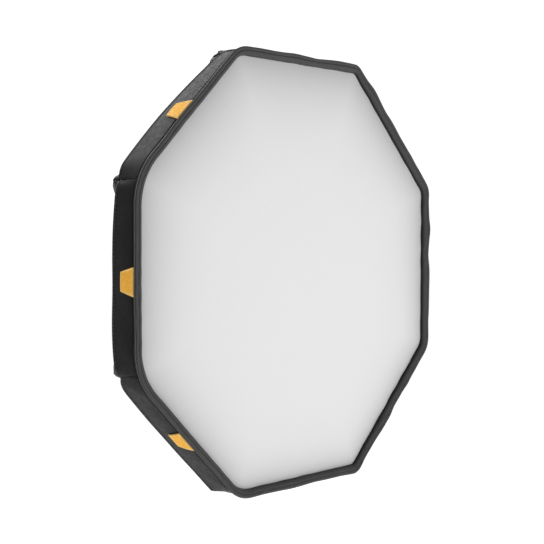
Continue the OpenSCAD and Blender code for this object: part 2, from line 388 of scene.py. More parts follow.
# ---------------------------------------------------------------------------------------
# Materials
# ---------------------------------------------------------------------------------------
class Nodes:
    """A material's node tree, with short calls for the nodes that are used here."""

    def __init__(self, name):
        self.material = bpy.data.materials.new(name)
        self.material.use_nodes = True
        self.tree = self.material.node_tree
        self.shader = self.tree.nodes["Principled BSDF"]

    def set(self, **values):
        for key, value in values.items():
            self.shader.inputs[key.replace("_", " ")].default_value = value

    def node(self, kind, settings=None, **links):
        made = self.tree.nodes.new(kind)
        for key, value in (settings or {}).items():
            setattr(made, key, value)
        for key, value in links.items():
            self.put(made, key.replace("_", " "), value)
        return made

    def put(self, made, key, value):
        socket = made.inputs[int(key[1:])] if key[0] == "i" and key[1:].isdigit() else made.inputs[key]
        if isinstance(value, bpy.types.NodeSocket):
            self.tree.links.new(value, socket)
        else:
            socket.default_value = value

    def link(self, value, key):
        self.tree.links.new(value, self.shader.inputs[key])

    def attribute(self, name):
        return self.node("ShaderNodeAttribute", {"attribute_name": name})

    def cloth(self):
        return self.attribute("cloth").outputs["Vector"]

    def place(self):
        return self.node("ShaderNodeTexCoord").outputs["Object"]

    def noise(self, vector, scale, detail=3.0, rough=0.55):
        return self.node("ShaderNodeTexNoise", Vector=vector, Scale=scale, Detail=detail,
                         Roughness=rough).outputs["Fac"]

    def math(self, kind, a, b=0.0, clamp=False):
        return self.node("ShaderNodeMath", {"operation": kind, "use_clamp": clamp}, i0=a, i1=b).outputs[0]

    def scaled(self, vector, factors):
        return self.node("ShaderNodeVectorMath", {"operation": "MULTIPLY"}, i0=vector, i1=factors).outputs[0]

    def ramp(self, value, stops):
        made = self.node("ShaderNodeValToRGB", Fac=value)
        ramp = made.color_ramp
        while len(ramp.elements) < len(stops):
            ramp.elements.new(0.5)
        for element, (at, colour) in zip(ramp.elements, stops):
            element.position = at
            element.color = (*colour, 1) if len(colour) == 3 else colour
        return made.outputs["Color"]

    def mix(self, kind, factor, a, b):
        made = self.node("ShaderNodeMix", {"data_type": "RGBA", "blend_type": kind})
        self.put(made, "i0", factor)
        self.put(made, "i6", a)
        self.put(made, "i7", b)
        return made.outputs[2]

    def weave(self, vector, pitch):
        """Height of a plain weave, from 0 to 1, where vector is in metres and pitch is a thread's."""
        turns = 2 * math.pi / pitch
        x, y, _ = self.node("ShaderNodeSeparateXYZ", Vector=vector).outputs
        a = self.math("SINE", self.math("MULTIPLY", x, turns))
        b = self.math("SINE", self.math("MULTIPLY", y, turns))
        both = self.math("MULTIPLY", a, b)
        ridges = self.math("MAXIMUM", self.math("ABSOLUTE", a), self.math("ABSOLUTE", b))
        return self.math("ADD", self.math("MULTIPLY", both, 0.35), self.math("MULTIPLY", ridges, 0.5))

    def bump(self, height, strength, distance, below=None):
        made = self.node("ShaderNodeBump", Height=height, Strength=strength, Distance=distance)
        if below is not None:
            self.put(made, "Normal", below)
        return made.outputs["Normal"]


def grey(value, tint=(1.0, 1.0, 1.0)):
    return tuple(value * t for t in tint)


def fabric(name, low, high, pitch, rough, sheen=0.25, bump=0.35, mottle=30.0, specular=0.35, painted_shade_along=None):
    """Woven cloth: colour varies a little over it, and threads and soft dents show as relief.
    The last argument names an attribute that lays painted shade on the colour: darkest where it is 0, a
    little lighter than plain near 1."""
    n = Nodes(name)
    where = n.cloth()
    patches = n.noise(where, mottle, 4.0, 0.6)
    threads = n.weave(where, pitch)
    colour = n.ramp(patches, [(0.25, grey(low)), (0.8, grey(high))])
    colour = n.mix("MULTIPLY", 0.45, colour, n.ramp(threads, [(0.0, (0.55,) * 3), (0.9, (1.2,) * 3)]))
    # Painted shade: the colour is multiplied down along the named attribute.
    if painted_shade_along:
        along = n.attribute(painted_shade_along).outputs["Fac"]
        painted_shade_ramp = n.ramp(along, [(0.0, (0.45,) * 3), (0.35, (0.8,) * 3), (0.9, (1.1,) * 3)])
        colour = n.mix("MULTIPLY", 1.0, colour, painted_shade_ramp)
    n.link(colour, "Base Color")
    n.link(n.ramp(n.noise(where, mottle * 5, 2.0), [(0.2, (rough - 0.08,) * 3), (0.8, (rough + 0.1,) * 3)]),
           "Roughness")
    dents = n.bump(n.noise(where, mottle * 1.6, 3.0), 0.35, 0.8 * MM)
    n.link(n.bump(threads, bump, 0.25 * pitch, dents), "Normal")
    n.set(Sheen_Weight=sheen, Sheen_Roughness=0.45, Specular_IOR_Level=specular)
    return n.material


def silver_lining():
    n = Nodes("silver_lining")
    where = n.cloth()
    grains = n.node("ShaderNodeTexVoronoi", {"feature": "F1"}, Vector=where, Scale=260.0).outputs["Distance"]
    foil = [(0.25, (0.52, 0.53, 0.55)), (0.8, (0.74, 0.75, 0.77))]
    n.link(n.ramp(n.noise(where, 22.0, 4.0), foil), "Base Color")
    n.link(n.ramp(n.noise(where, 90.0), [(0.2, (0.26,) * 3), (0.8, (0.44,) * 3)]), "Roughness")
    n.link(n.bump(grains, 0.5, 0.5 * MM, n.bump(n.noise(where, 60.0), 0.4, 1.2 * MM)), "Normal")
    n.set(Metallic=0.75)
    return n.material


def diffusion_cloth():
    """White translucent cloth. The attribute shade lays painted shade on its colour, darker softly towards
    the binding.
    """
    n = Nodes("diffusion_cloth")
    where = n.cloth()
    shade = n.attribute("shade").outputs["Fac"]
    fleck = n.noise(where, 420.0, 3.0, 0.7)
    cloudy = n.noise(where, 6.0, 2.0)
    tone = n.math("MULTIPLY", shade, n.math("ADD", n.math("MULTIPLY", fleck, 0.03), 0.985))
    tone = n.math("MULTIPLY", tone, n.math("ADD", n.math("MULTIPLY", cloudy, 0.015), 0.9925))
    colour = n.node("ShaderNodeCombineColor", Red=tone, Green=n.math("MULTIPLY", tone, 0.994),
                    Blue=n.math("MULTIPLY", tone, 0.998)).outputs[0]
    n.link(colour, "Base Color")
    threads = n.weave(where, 0.7 * MM)
    n.link(n.bump(threads, 0.12, 0.15 * MM, n.bump(cloudy, 0.1, 1.0 * MM)), "Normal")
    n.link(n.ramp(fleck, [(0.2, (0.74,) * 3), (0.8, (0.9,) * 3)]), "Roughness")
    n.set(Sheen_Weight=0.08, Sheen_Roughness=0.5, Specular_IOR_Level=0.15)
    return n.material


def binding_cloth():
    """Charcoal binding. The attribute edge is 0 by the white cloth and 1 on its outer fold and underside; the
    fold carries a pale line that is partly a lighter hem and partly painted highlight.
    """
    n = Nodes("binding_cloth")
    where = n.cloth()
    edge = n.attribute("edge").outputs["Fac"]
    patches = n.noise(where, 45.0, 4.0)
    # Painted shade: near black in the groove by the white cloth (0 to 0.1) and on the underside facing the
    # wall (from 0.992), darker creases at 0.6 and at 0.94 to 0.958. The pale band from 0.968 to 0.984 is
    # partly a lighter hem and partly painted highlight.
    base = n.ramp(edge, [(0.0, grey(0.008)), (0.10, grey(0.012)), (0.22, grey(0.054)), (0.52, grey(0.066)),
                         (0.60, grey(0.025)), (0.70, grey(0.068)), (0.90, grey(0.070)), (0.94, grey(0.028)),
                         (0.958, grey(0.028)), (0.968, grey(0.26)), (0.984, grey(0.26)),
                         (0.992, grey(0.010))])
    colour = n.mix("MULTIPLY", 0.5, base, n.ramp(patches, [(0.25, (0.7,) * 3), (0.8, (1.25,) * 3)]))
    n.link(colour, "Base Color")
    n.link(n.ramp(patches, [(0.2, (0.62,) * 3), (0.8, (0.8,) * 3)]), "Roughness")
    ribs = n.weave(where, 0.9 * MM)
    n.link(n.bump(ribs, 0.4, 0.25 * MM, n.bump(n.noise(where, 70.0), 0.5, 0.9 * MM)), "Normal")
    n.set(Sheen_Weight=0.2, Sheen_Roughness=0.4, Specular_IOR_Level=0.3)
    return n.material


def tab_webbing():
    """Amber webbing. The attribute edge is 1 at the paler sewn border."""
    n = Nodes("tab_webbing")
    where = n.cloth()
    edge = n.attribute("edge").outputs["Fac"]
    body = n.ramp(n.noise(where, 160.0, 4.0), [(0.25, (0.78, 0.37, 0.036)), (0.8, (0.98, 0.53, 0.080))])
    n.link(n.mix("MIX", n.math("MULTIPLY", edge, 0.6), body, (0.90, 0.60, 0.20, 1)), "Base Color")
    threads = n.weave(n.scaled(where, (1.0, 0.6, 1.0)), 1.1 * MM)
    n.link(n.bump(threads, 0.55, 0.35 * MM), "Normal")
    n.link(n.ramp(n.noise(where, 300.0), [(0.2, (0.5,) * 3), (0.8, (0.68,) * 3)]), "Roughness")
    n.set(Sheen_Weight=0.02, Sheen_Roughness=0.4, Specular_IOR_Level=0.08)
    return n.material


def hook_pile():
    n = Nodes("hook_pile")
    where = n.place()
    pile = n.noise(where, 1400.0, 4.0, 0.75)
    n.link(n.ramp(pile, [(0.3, grey(0.008)), (0.75, grey(0.045))]), "Base Color")
    n.link(n.bump(pile, 1.0, 0.8 * MM), "Normal")
    n.set(Roughness=0.85, Sheen_Weight=0.35, Sheen_Roughness=0.5)
    return n.material


def thread(name, colour):
    n = Nodes(name)
    twist = n.noise(n.place(), 2500.0, 2.0)
    plies = n.ramp(twist, [(0.2, (0.6,) * 3), (0.8, (1.2,) * 3)])
    n.link(n.mix("MULTIPLY", 0.5, (*colour, 1), plies), "Base Color")
    n.link(n.bump(twist, 0.6, 0.2 * MM), "Normal")
    n.set(Roughness=0.55, Sheen_Weight=0.2)
    return n.material


def plastic(name, low, high, rough, grain=900.0, bump=0.25):
    """Moulded plastic with a fine spark-eroded grain and slight scuffs."""
    n = Nodes(name)
    where = n.place()
    fine = n.noise(where, grain, 3.0)
    scuffs = n.noise(n.scaled(where, (1.0, 1.0, 6.0)), 60.0, 5.0, 0.7)
    n.link(n.ramp(scuffs, [(0.3, grey(low)), (0.75, grey(high))]), "Base Color")
    n.link(n.ramp(scuffs, [(0.3, (rough,) * 3), (0.75, (rough + 0.18,) * 3)]), "Roughness")
    n.link(n.bump(fine, bump, 0.25 * MM), "Normal")
    n.set(Specular_IOR_Level=0.5)
    return n.material


def metal(name, low, high, rough, marks=(1.0, 1.0, 1.0), scale=400.0, bump=0.15, metallic=1.0):
    """Machined or drawn metal: fine marks that run along one direction, with duller patches."""
    n = Nodes(name)
    where = n.place()
    lines = n.noise(n.scaled(where, marks), scale, 4.0, 0.7)
    patches = n.noise(where, 35.0, 4.0)
    n.link(n.ramp(patches, [(0.3, low), (0.75, high)]), "Base Color")
    n.link(n.ramp(lines, [(0.2, (rough,) * 3), (0.8, (rough + 0.2,) * 3)]), "Roughness")
    n.link(n.bump(lines, bump, 0.15 * MM), "Normal")
    n.set(Metallic=metallic)
    return n.material


BLACK_CLOTH = fabric("black_cloth", 0.009, 0.017, 0.9 * MM, 0.5, sheen=0.05, specular=0.2)
# The wall cloth carries painted shade along depth: darkest by the binding, lighter towards the back edge.
WALL_CLOTH = fabric("wall_cloth_painted_shade", 0.008, 0.0155, 0.9 * MM, 0.52, sheen=0.04, specular=0.09, painted_shade_along="depth")
SLEEVE_CLOTH = fabric("sleeve_cloth", 0.016, 0.028, 1.1 * MM, 0.55, sheen=0.2, specular=0.4)
CUFF_CLOTH = fabric("cuff_cloth", 0.010, 0.020, 0.8 * MM, 0.7, sheen=0.3, bump=0.6)
SILVER = silver_lining()
WHITE_CLOTH = diffusion_cloth()
BINDING = binding_cloth()
TAB = tab_webbing()
PILE = hook_pile()
DARK_THREAD = thread("dark_thread", (0.05, 0.05, 0.055))
PALE_THREAD = thread("pale_thread", (0.88, 0.62, 0.26))
PIPING = thread("piping", (0.006, 0.006, 0.007))

NODE_MATERIALS = {
    "mount_insert": metal("cast_alloy", (0.50, 0.51, 0.53), (0.66, 0.67, 0.69), 0.3),
    "retaining_ring": metal("turned_alloy", (0.52, 0.53, 0.55), (0.68, 0.69, 0.71), 0.25, scale=700.0),
    "glide_washer": plastic("washer_plastic", 0.62, 0.74, 0.35, bump=0.1),
    "retaining_screws": metal("black_steel", (0.05, 0.05, 0.055), (0.11, 0.11, 0.12), 0.3),
    "hub_ring": plastic("hub_nylon", 0.020, 0.034, 0.45),
    "hinge_pins": metal("pin_steel", (0.5, 0.5, 0.52), (0.66, 0.66, 0.68), 0.2),
    "lock_bush": metal("bush_brass", (0.52, 0.36, 0.13), (0.70, 0.52, 0.23), 0.25),
    "canopy_collar": plastic("collar_plastic", 0.012, 0.022, 0.5),
    "collar_screws": metal("black_steel_heads", (0.06, 0.06, 0.065), (0.13, 0.13, 0.14), 0.3),
    "lock_knob": plastic("knob_plastic", 0.014, 0.026, 0.4, grain=700.0, bump=0.35),
    "lock_screw": metal("screw_steel", (0.45, 0.45, 0.47), (0.62, 0.62, 0.64), 0.25, (1, 1, 20), 300.0, 0.5),
}
RIB_STEEL = metal("rib_steel", (0.42, 0.43, 0.45), (0.58, 0.59, 0.61), 0.22, scale=500.0)
KNUCKLE_NYLON = plastic("knuckle_nylon", 0.018, 0.030, 0.42)
for number in SIDES:
    NODE_MATERIALS[f"rib_{number}"] = RIB_STEEL
    NODE_MATERIALS[f"knuckle_{number}"] = KNUCKLE_NYLON


def dress_nodes():
    """Gives every CAD node that stays in view its material."""
    for node, material in NODE_MATERIALS.items():
        o = frame["nodes"][node]
        o.data.materials.clear()
        o.data.materials.append(material)


# ---------------------------------------------------------------------------------------
# Side band and canopy
# ---------------------------------------------------------------------------------------
BAND_COLUMNS = 97

# How much deeper the middle of a side wall hangs than the panel it stands for, in millimetres
BACK_DEPTH = {4: -2.5, 5: -2.4, 6: 0.4}


# Rows of a canopy panel, from the side wall to the hub: closer together over the rib ends
CANOPY_ROWS = np.linspace(0, 1, 49) ** 1.5
TIP_CORNER = 8 * MM
GUSSET_ROWS = 9


def back_edge(i, u):
    """The sewn edge where side wall i meets the canopy: apothem offset and depth."""
    place = ring_place(i, u)
    forward = drawn_in(i, u, 1.0)[0]
    full = BACK_DEPTH.get(i, 0.0) * MM
    return 0.4 * MM * smooth_noise(place, 13), BAND_BACK - full + forward + 0.5 * MM * smooth_noise(place, 9)


def wall_out(i, u, v):
    """How far side wall i stands out from the octagon of the side band, in metres."""
    place = ring_place(i, u)
    out = rim_wave(place) * (1 - v) ** 1.5 + back_edge(i, u)[0] * v ** 1.5 + wall_bulge(i, u, v)
    out = out + 0.5 * MM * smooth_noise(place + 0.15 * v, 31) * np.sin(math.pi * v) * around(WAVE, place)
    return out - (0.3 + 1.3 * v) * MM - drawn_in(i, u, v)[1]


def band_points(i, rows=17):
    """Outer face of side wall i, from under the binding (first row) to the sewn back edge (last row)."""
    u = np.linspace(-1, 1, BAND_COLUMNS)[None, :]
    v = np.linspace(0, 1, rows)[:, None]
    corner = radius_at(CORNER_FRONT, i, u) * (1 - v) + radius_at(CORNER_BACK, i, u) * v
    back = back_edge(i, u)[1]
    x, y, nx, ny = outline(i, u, APOTHEM, corner)
    front = BAND_FRONT + 0 * u
    depth = front + (back - front) * v
    along = drawn_in(i, u, v)[2]
    a = side_angle(i)
    out = wall_out(i, u, v)
    x, y = x + nx * out - along * math.sin(a), y + ny * out + along * math.cos(a)
    points = np.stack([x, y, np.broadcast_to(depth, x.shape)], axis=-1)
    half = APOTHEM * math.tan(HALF)
    flat = np.stack(np.broadcast_arrays(u * half, -v * (BAND_FRONT - BAND_BACK)), axis=-1)
    return points, flat


def canopy_points(i):
    """Outer face of canopy panel i, from the side wall's back edge to the hub. Only a narrow strip follows
    the wall's drawn-in edge. Behind it the cloth is taut over the rib ends."""
    start = band_points(i)[0][-1]
    u = np.linspace(-1, 1, BAND_COLUMNS)
    x, y = outline(i, u, APOTHEM - 0.8 * MM, TIP_CORNER)[:2]
    taut = np.stack([x, y, np.full_like(x, BAND_BACK)], axis=-1)
    x, y = outline(i, u, HUB_EDGE_R, HUB_EDGE_R * 0.55)[:2]
    end = np.stack([x, y, np.full_like(x, HUB_EDGE_DEPTH)], axis=-1)
    q = CANOPY_ROWS[:, None]
    near_seam = np.clip(np.abs(u) / 0.6 - 0.6, 0, 1)[None, :]
    reach = 0.30 * (1 - near_seam) + 0.020 * near_seam
    points = taut[None] * (1 - q[..., None]) + end[None] * q[..., None]
    points = points + (start - taut)[None] * np.exp(-((q / reach) ** 2))[..., None]
    a = side_angle(i)
    slope = math.atan2(APOTHEM - HUB_EDGE_R, BAND_BACK - HUB_EDGE_DEPTH)
    inward = -np.array([math.cos(a) * math.cos(slope), math.sin(a) * math.cos(slope), -math.sin(slope)])
    place = ring_place(i, u)[None, :]
    tight = np.cos(math.pi * u / 2)[None, :]
    sag = 5.0 * MM * np.sin(math.pi * q) ** 0.9 * tight ** 1.2
    pucker = 1.1 * MM * smooth_noise(place + 0.06 * q, 29) * np.abs(u[None, :]) ** 2
    pucker = pucker * np.sin(math.pi * q) ** 0.5
    gather = 0.8 * MM * smooth_noise(place, 47) * np.clip((q - 0.55) / 0.45, 0, 1) ** 2 * tight
    points = points + (sag + (pucker + gather) * tight ** 0.3)[..., None] * inward
    run = math.hypot(APOTHEM - HUB_EDGE_R, BAND_BACK - HUB_EDGE_DEPTH)
    width = (APOTHEM * (1 - q) + HUB_EDGE_R * q) * math.tan(HALF)
    flat = np.stack(np.broadcast_arrays(u[None, :] * width, -q * run), axis=-1)
    return points, flat


def make_panels():
    """Side wall and canopy panel of each side. They ride on the panel's body."""
    for i in SIDES:
        out = Vector((math.cos(side_angle(i)), 0, math.sin(side_angle(i))))
        points, flat = band_points(i)
        row = to_row(points)
        # depth, 0 at the binding and 1 at the back edge, lays painted shade on the wall cloth.
        back = np.repeat(np.linspace(0, 1, row.shape[0])[:, None], row.shape[1], axis=1)
        band = shell(f"band_cloth_{i}", row, flat, CLOTH, 1, values={"depth": back}, out=np.array(out))
        canopy_p, canopy_flat = canopy_points(i)
        canopy_row = to_row(canopy_p)
        behind = np.array(out + Vector((0, 0.9, 0)))
        canopy = shell(f"canopy_cloth_{i}", canopy_row, canopy_flat, CLOTH, 1, out=behind)
        for piece, outside in ((band, WALL_CLOTH), (canopy, BLACK_CLOTH)):
            piece.data.materials.append(outside)
            piece.data.materials.append(SILVER)
        normal = grid_normals(row)
        if float((normal * np.array(out)).sum(-1).mean()) < 0:
            normal = -normal
        rows = row.shape[0]
        seam = stitches(f"band_seam_{i}", row[rows - 2], normal[rows - 2], 3.2 * MM, 1.5 * MM, 0.45 * MM,
                        DARK_THREAD)
        join_in(band, [seam, bead(f"band_piping_{i}", row[-1], 0.95 * MM, PIPING)])
        for piece, node in ((band, f"band_{i}"), (canopy, f"canopy_{i}")):
            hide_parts(node)
            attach(piece, f"panel_{i}")
            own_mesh(piece)


# ---------------------------------------------------------------------------------------
# Cloth that holds the ribs: sleeves along the seams, gussets and pockets at their ends
# ---------------------------------------------------------------------------------------
def rib_end():
    """Radius from the light axis, depth and ball radius of a rib's tip, from the frame."""
    low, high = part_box("rib_1")
    r = (high.x - high.z) / (math.cos(HALF) - math.sin(HALF))
    ball = high.x - r * math.cos(HALF)
    return r, -low.y - ball, ball


def seam_frame(i):
    """Unit vectors at corner i as x, y and depth: across the seam, away from the light axis, forwards, out of
    the canopy, and along the rib."""
    tilt = math.atan2((APOTHEM - HUB_EDGE_R) / math.cos(HALF), BAND_BACK - HUB_EDGE_DEPTH)
    a = side_angle(i) + HALF
    across = np.array([-math.sin(a), math.cos(a), 0])
    radial = np.array([math.cos(a), math.sin(a), 0])
    ahead = np.array([0, 0, 1])
    outward = radial * math.cos(tilt) - ahead * math.sin(tilt)
    return across, radial, ahead, outward, radial * math.sin(tilt) + ahead * math.cos(tilt)


def make_sleeve(i):
    """A tapered strip over corner seam i. It rides on the rib, so it spans the gap when folded."""
    seam = (canopy_points(i)[0][:, -1] + canopy_points(i % 8 + 1)[0][:, 0]) / 2
    across, _, _, outward, _ = seam_frame(i)
    q = CANOPY_ROWS[:, None]
    w = np.linspace(-1, 1, 13)[None, :]
    width = (6.5 + 12.5 * q ** 1.3) * MM
    end = np.clip(np.minimum((q - 0.06) / 0.06, (1 - q) / 0.03), 0, 1) ** 0.5
    width = width * (0.5 + 0.5 * end)
    drop = np.sqrt((w * width * math.tan(math.radians(16.5))) ** 2 + (1.2 * MM) ** 2) - 1.2 * MM
    lift = (0.5 + 1.0 * end) * MM + 1.2 * MM * end * np.exp(-((w / 0.35) ** 2))
    points = seam[:, None, :] + across * (w * width)[..., None] + outward * (lift - drop)[..., None]
    keep = (q[:, 0] > 0.065) & (q[:, 0] < 0.985)
    run = np.linalg.norm(seam[-1] - seam[0])
    flat = np.stack(np.broadcast_arrays(w * width, -q * run), axis=-1)[keep]
    row = to_row(points[keep])
    out = to_row(outward)
    sleeve = shell(f"rib_sleeve_{i}", row, flat, 0.6 * MM, 0, out=out)
    sleeve.data.materials.append(SLEEVE_CLOTH)
    normals = np.repeat(out[None], len(row), 0)
    join_in(sleeve, [stitches(f"sleeve_thread_{i}_{k}", row[:, column], normals, 3.0 * MM, 1.4 * MM, 0.4 * MM,
                              DARK_THREAD) for k, column in enumerate((1, 4, 8, 11))])
    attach(sleeve, f"rib_{i}")


def make_gusset(i):
    """A strip that closes corner i between its two side walls, and wraps the rib's end."""
    across, radial = seam_frame(i)[:2]
    sides = []
    for side, column in ((i, -1), (i % 8 + 1, 0)):
        wall = band_points(side)[0][:, column]
        sides.append(np.concatenate([wall, canopy_points(side)[0][1:GUSSET_ROWS, column]]))
    share = np.linspace(0, 1, 7)[None, :, None]
    strip = sides[0][:, None] * (1 - share) + sides[1][:, None] * share
    step = ((sides[0] - sides[1]) @ radial)[:, None, None]
    strip = strip + (across * 0.45 * step + radial * 0.6 * MM) * np.sin(math.pi * share)
    down = np.cumsum(np.concatenate([[0], np.linalg.norm(np.diff(strip[:, 3], axis=0), axis=1)]))
    flat = np.stack(np.broadcast_arrays(share[..., 0] * 8 * MM, -down[:, None]), axis=-1)
    # depth lays the wall cloth's painted shade on the gusset, darkest at its front end.
    gusset = shell(f"corner_gusset_{i}", to_row(strip), flat, 0.5 * MM, 0, out=to_row(radial),
                   values={"depth": np.repeat(np.linspace(0, 1, len(strip))[:, None], 7, axis=1)})
    gusset.data.materials.append(WALL_CLOTH)
    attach(gusset, f"rib_{i}")


# A rib pocket's length behind its dome, and the dome's share of the pocket's rows
POCKET = 34 * MM
DOME = 0.12


def make_pocket(i):
    """A round-ended pocket over the tip of rib i."""
    across, radial, ahead, outward, along = seam_frame(i)
    r, depth, ball = rib_end()
    tip = radial * r + ahead * depth
    s = np.linspace(0, 1, 21)[:, None]
    t = np.linspace(0, 2 * math.pi, 24, endpoint=False)[None, :]
    dome = np.sqrt(np.clip(1 - (1 - s / DOME).clip(0) ** 2, 1e-4, 1))
    wide = (ball + 1.1 * MM) * dome * (1 + 0.12 * s)
    wide = wide * (1 + 0.05 * np.sin(5 * t + i) * s)
    where = (ball + 1.1 * MM) * (1 - s / DOME) * (s < DOME) - POCKET * (s - DOME).clip(0) / (1 - DOME)
    row = to_row(tip + along * where[..., None] + across * (1.35 * wide * np.cos(t))[..., None]
                 + outward * (wide * np.sin(t))[..., None])
    flat = np.stack(np.broadcast_arrays(t * ball, -s * 40 * MM), axis=-1)
    middle = to_row(tip - along * 14 * MM)
    pocket = shell(f"rib_pocket_{i}", row, flat, 0.7 * MM, 0, True, out=row - middle)
    pocket.data.materials.append(CUFF_CLOTH)
    ring = looped(row[-3])
    up = ring - to_row(tip + along * where[-3, 0])
    join_in(pocket, [stitches(f"pocket_thread_{i}", ring, up, 2.2 * MM, 1.0 * MM, 0.33 * MM, DARK_THREAD)])
    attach(pocket, f"rib_{i}")


def make_cuff():
    """Gathered elastic cuff that closes the canopy onto the hub's collar."""
    n, m = 8 * 48, 14
    a = np.linspace(0, 2 * math.pi, n, endpoint=False)[None, :]
    b = np.linspace(0, 2 * math.pi, m)[:, None]
    gather = 0.35 * MM * np.cos(96 * a) * np.clip(np.cos(b - 0.6), 0, 1)
    r = COLLAR_R + 1.7 * MM + (1.6 * MM + gather) * np.cos(b)
    depth = HUB_EDGE_DEPTH - 0.4 * MM + (2.0 * MM + gather) * np.sin(b)
    points = np.stack([r * np.cos(a), r * np.sin(a), depth + 0 * a], axis=-1)
    flat = np.stack(np.broadcast_arrays(a * COLLAR_R, b * 2 * MM), axis=-1)
    cuff = new_object("canopy_cuff", to_row(points).reshape(-1, 3), grid_faces(m, n, True),
                      flat.reshape(-1, 2))
    cuff.data.materials.append(CUFF_CLOTH)
    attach(cuff, "hub")


# ---------------------------------------------------------------------------------------
# Diffuser: white cloth, binding and hook tape
# ---------------------------------------------------------------------------------------
RING_PER_SIDE = 60


def ring_outline(apothem, radii, grown=0.0):
    """Points, normals and places all the way round, as one closed row. Each radius is grown by
    that many mm."""
    parts = []
    for i in SIDES:
        u = np.linspace(-1, 1, RING_PER_SIDE, endpoint=False)
        corner = np.maximum(radius_at(radii, i, u) + grown * MM, 5 * MM)
        x, y, nx, ny = outline(i, u, apothem, corner)
        parts.append(np.stack([x, y, nx, ny, ring_place(i, u)], axis=-1))
    return np.concatenate(parts)


# How far in from the binding's outer edge its row of stitches runs, in mm
THREAD_INSET = 4.6

# Section of the binding: distance in from the outer edge, height over the white cloth, both in mm,
# and the place on its colour ramp
BINDING_SECTION = [
    (14.2, -2.2, 0.0), (12.8, -1.2, 0.0), (11.9, 0.4, 0.04), (11.5, 2.4, 0.12), (10.4, 4.4, 0.24),
    (8.6, 5.5, 0.42), (6.6, 6.1, 0.52), (5.3, 5.8, 0.60), (4.3, 6.1, 0.70), (2.8, 6.6, 0.82),
    (1.3, 6.4, 0.90), (0.35, 5.7, 0.94), (0.1, 4.8, 0.962), (0.5, 4.1, 0.978), (1.3, 3.8, 0.985),
    (1.75, 2.8, 1.0), (1.8, 1.2, 1.0), (1.9, 0.1, 1.0), (3.2, -0.4, 1.0), (3.4, -2.4, 1.0)]


def smooth_section(section, steps):
    """More points along a section, by Catmull-Rom interpolation."""
    p = np.array(section, float)
    p = np.concatenate([p[:1] * 2 - p[1:2], p, p[-1:] * 2 - p[-2:-1]])
    found = []
    for k in range(1, len(p) - 2):
        for t in np.linspace(0, 1, steps, endpoint=False):
            a, b, c, d = p[k - 1], p[k], p[k + 1], p[k + 2]
            found.append(0.5 * (2 * b + (c - a) * t + (2 * a - 5 * b + 4 * c - d) * t ** 2
                                + (3 * b - a - 3 * c + d) * t ** 3))
    found.append(p[-2])
    return np.array(found)


def make_binding():
    section = smooth_section(BINDING_SECTION, 3)
    rows = []
    length = 2 * math.pi * APOTHEM
    for inset, height, tone in section:
        ring = ring_outline(RIM_APOTHEM - inset * MM, CORNER_FRONT, -inset)
        place = ring[:, 4]
        share = np.clip(1 - inset / 13.0, 0, 1)
        lift = rim_lift(place) * np.clip(height / 5.0, 0, 1) * (0.4 + 0.6 * share)
        out = rim_wave(place) * share ** 0.7
        rumple = 0.25 * MM * smooth_noise(place * 1.0 + 0.01 * inset, 61) * np.clip(height / 4, 0, 1)
        depth = FACE + height * MM + lift + rumple
        rows.append(np.stack([ring[:, 0] + ring[:, 2] * out, ring[:, 1] + ring[:, 3] * out, depth], axis=-1))
    points = np.array(rows)
    n = points.shape[1]
    run = np.cumsum(np.concatenate([[0], np.linalg.norm(np.diff(section[:, :2], axis=0), axis=1)])) * MM
    along = np.linspace(0, length, n, endpoint=False)
    flat = np.stack(np.broadcast_arrays(along[None, :], run[:, None]), axis=-1)
    tone = np.repeat(np.clip(section[:, 2], 0, 1)[:, None], n, axis=1)
    row = to_row(points)
    ahead = np.array([0, -1.0, 0])
    binding = shell("binding_cloth_ring", row, flat, 0.6 * MM, 0, True, {"edge": tone}, out=ahead)
    binding.data.materials.append(BINDING)
    normal = grid_normals(row, True)
    if float(normal[len(row) // 2, :, 1].mean()) > 0:
        normal = -normal
    at = int(np.argmin(np.abs(section[:, 0] - THREAD_INSET) + 10 * (section[:, 1] < 3)))
    join_in(binding, [stitches("binding_thread", looped(row[at]), looped(normal[at]), 2.8 * MM, 1.3 * MM,
                               0.33 * MM, DARK_THREAD)])
    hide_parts("rim_binding")
    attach(binding, "diffuser")
    return binding


def face_shade(x, y, apothem):
    """Painted shade on the white cloth at a point, as a factor on its colour: darker towards the binding,
    most at the upper left.
    """
    reach = np.max([x * math.cos(side_angle(i)) + y * math.sin(side_angle(i)) for i in SIDES], axis=0)
    inset = np.clip(apothem - reach, 0, None)
    turn = np.arctan2(y, x)
    amount = 0.395 + 0.055 * np.cos(turn - math.radians(110))
    width = (33 + 12 * np.cos(turn - math.radians(105))) * MM
    return 1 - amount * np.exp(-inset / width)


def make_diffuser():
    """The stretched white cloth, tucked under the binding."""
    rings = 56
    shares = 1 - (1 - np.linspace(0.02, 1, rings)) ** 1.6
    rows = []
    for share in shares:
        ring = ring_outline(FACE_APOTHEM + 1.0 * MM, CORNER_FRONT, -11)
        place = ring[:, 4]
        near = np.clip((share - 0.8) / 0.2, 0, 1)
        pucker = 0.35 * MM * smooth_noise(place, 41) * near ** 3
        crown = 1.2 * MM * (1 - share ** 2)
        depth = FACE + crown + pucker - 0.3 * MM * near
        rows.append(np.stack([ring[:, 0] * share, ring[:, 1] * share, depth], axis=-1))
    points = np.array(rows)
    n = points.shape[1]
    vertices = np.concatenate([points.reshape(-1, 3), [[0, 0, FACE + 1.2 * MM]]])
    faces = grid_faces(len(points), n, True)
    faces += [[len(vertices) - 1, (c + 1) % n, c] for c in range(n)]
    # shade is painted shade, kept as an attribute that darkens the cloth's colour.
    shade = face_shade(vertices[:, 0], vertices[:, 1], FACE_APOTHEM)
    cloth = new_object("diffuser_sheet", to_row(vertices), faces, vertices[:, :2], None, {"shade": shade})
    cloth.data.materials.append(WHITE_CLOTH)
    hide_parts("diffuser_cloth")
    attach(cloth, "diffuser")
    return cloth


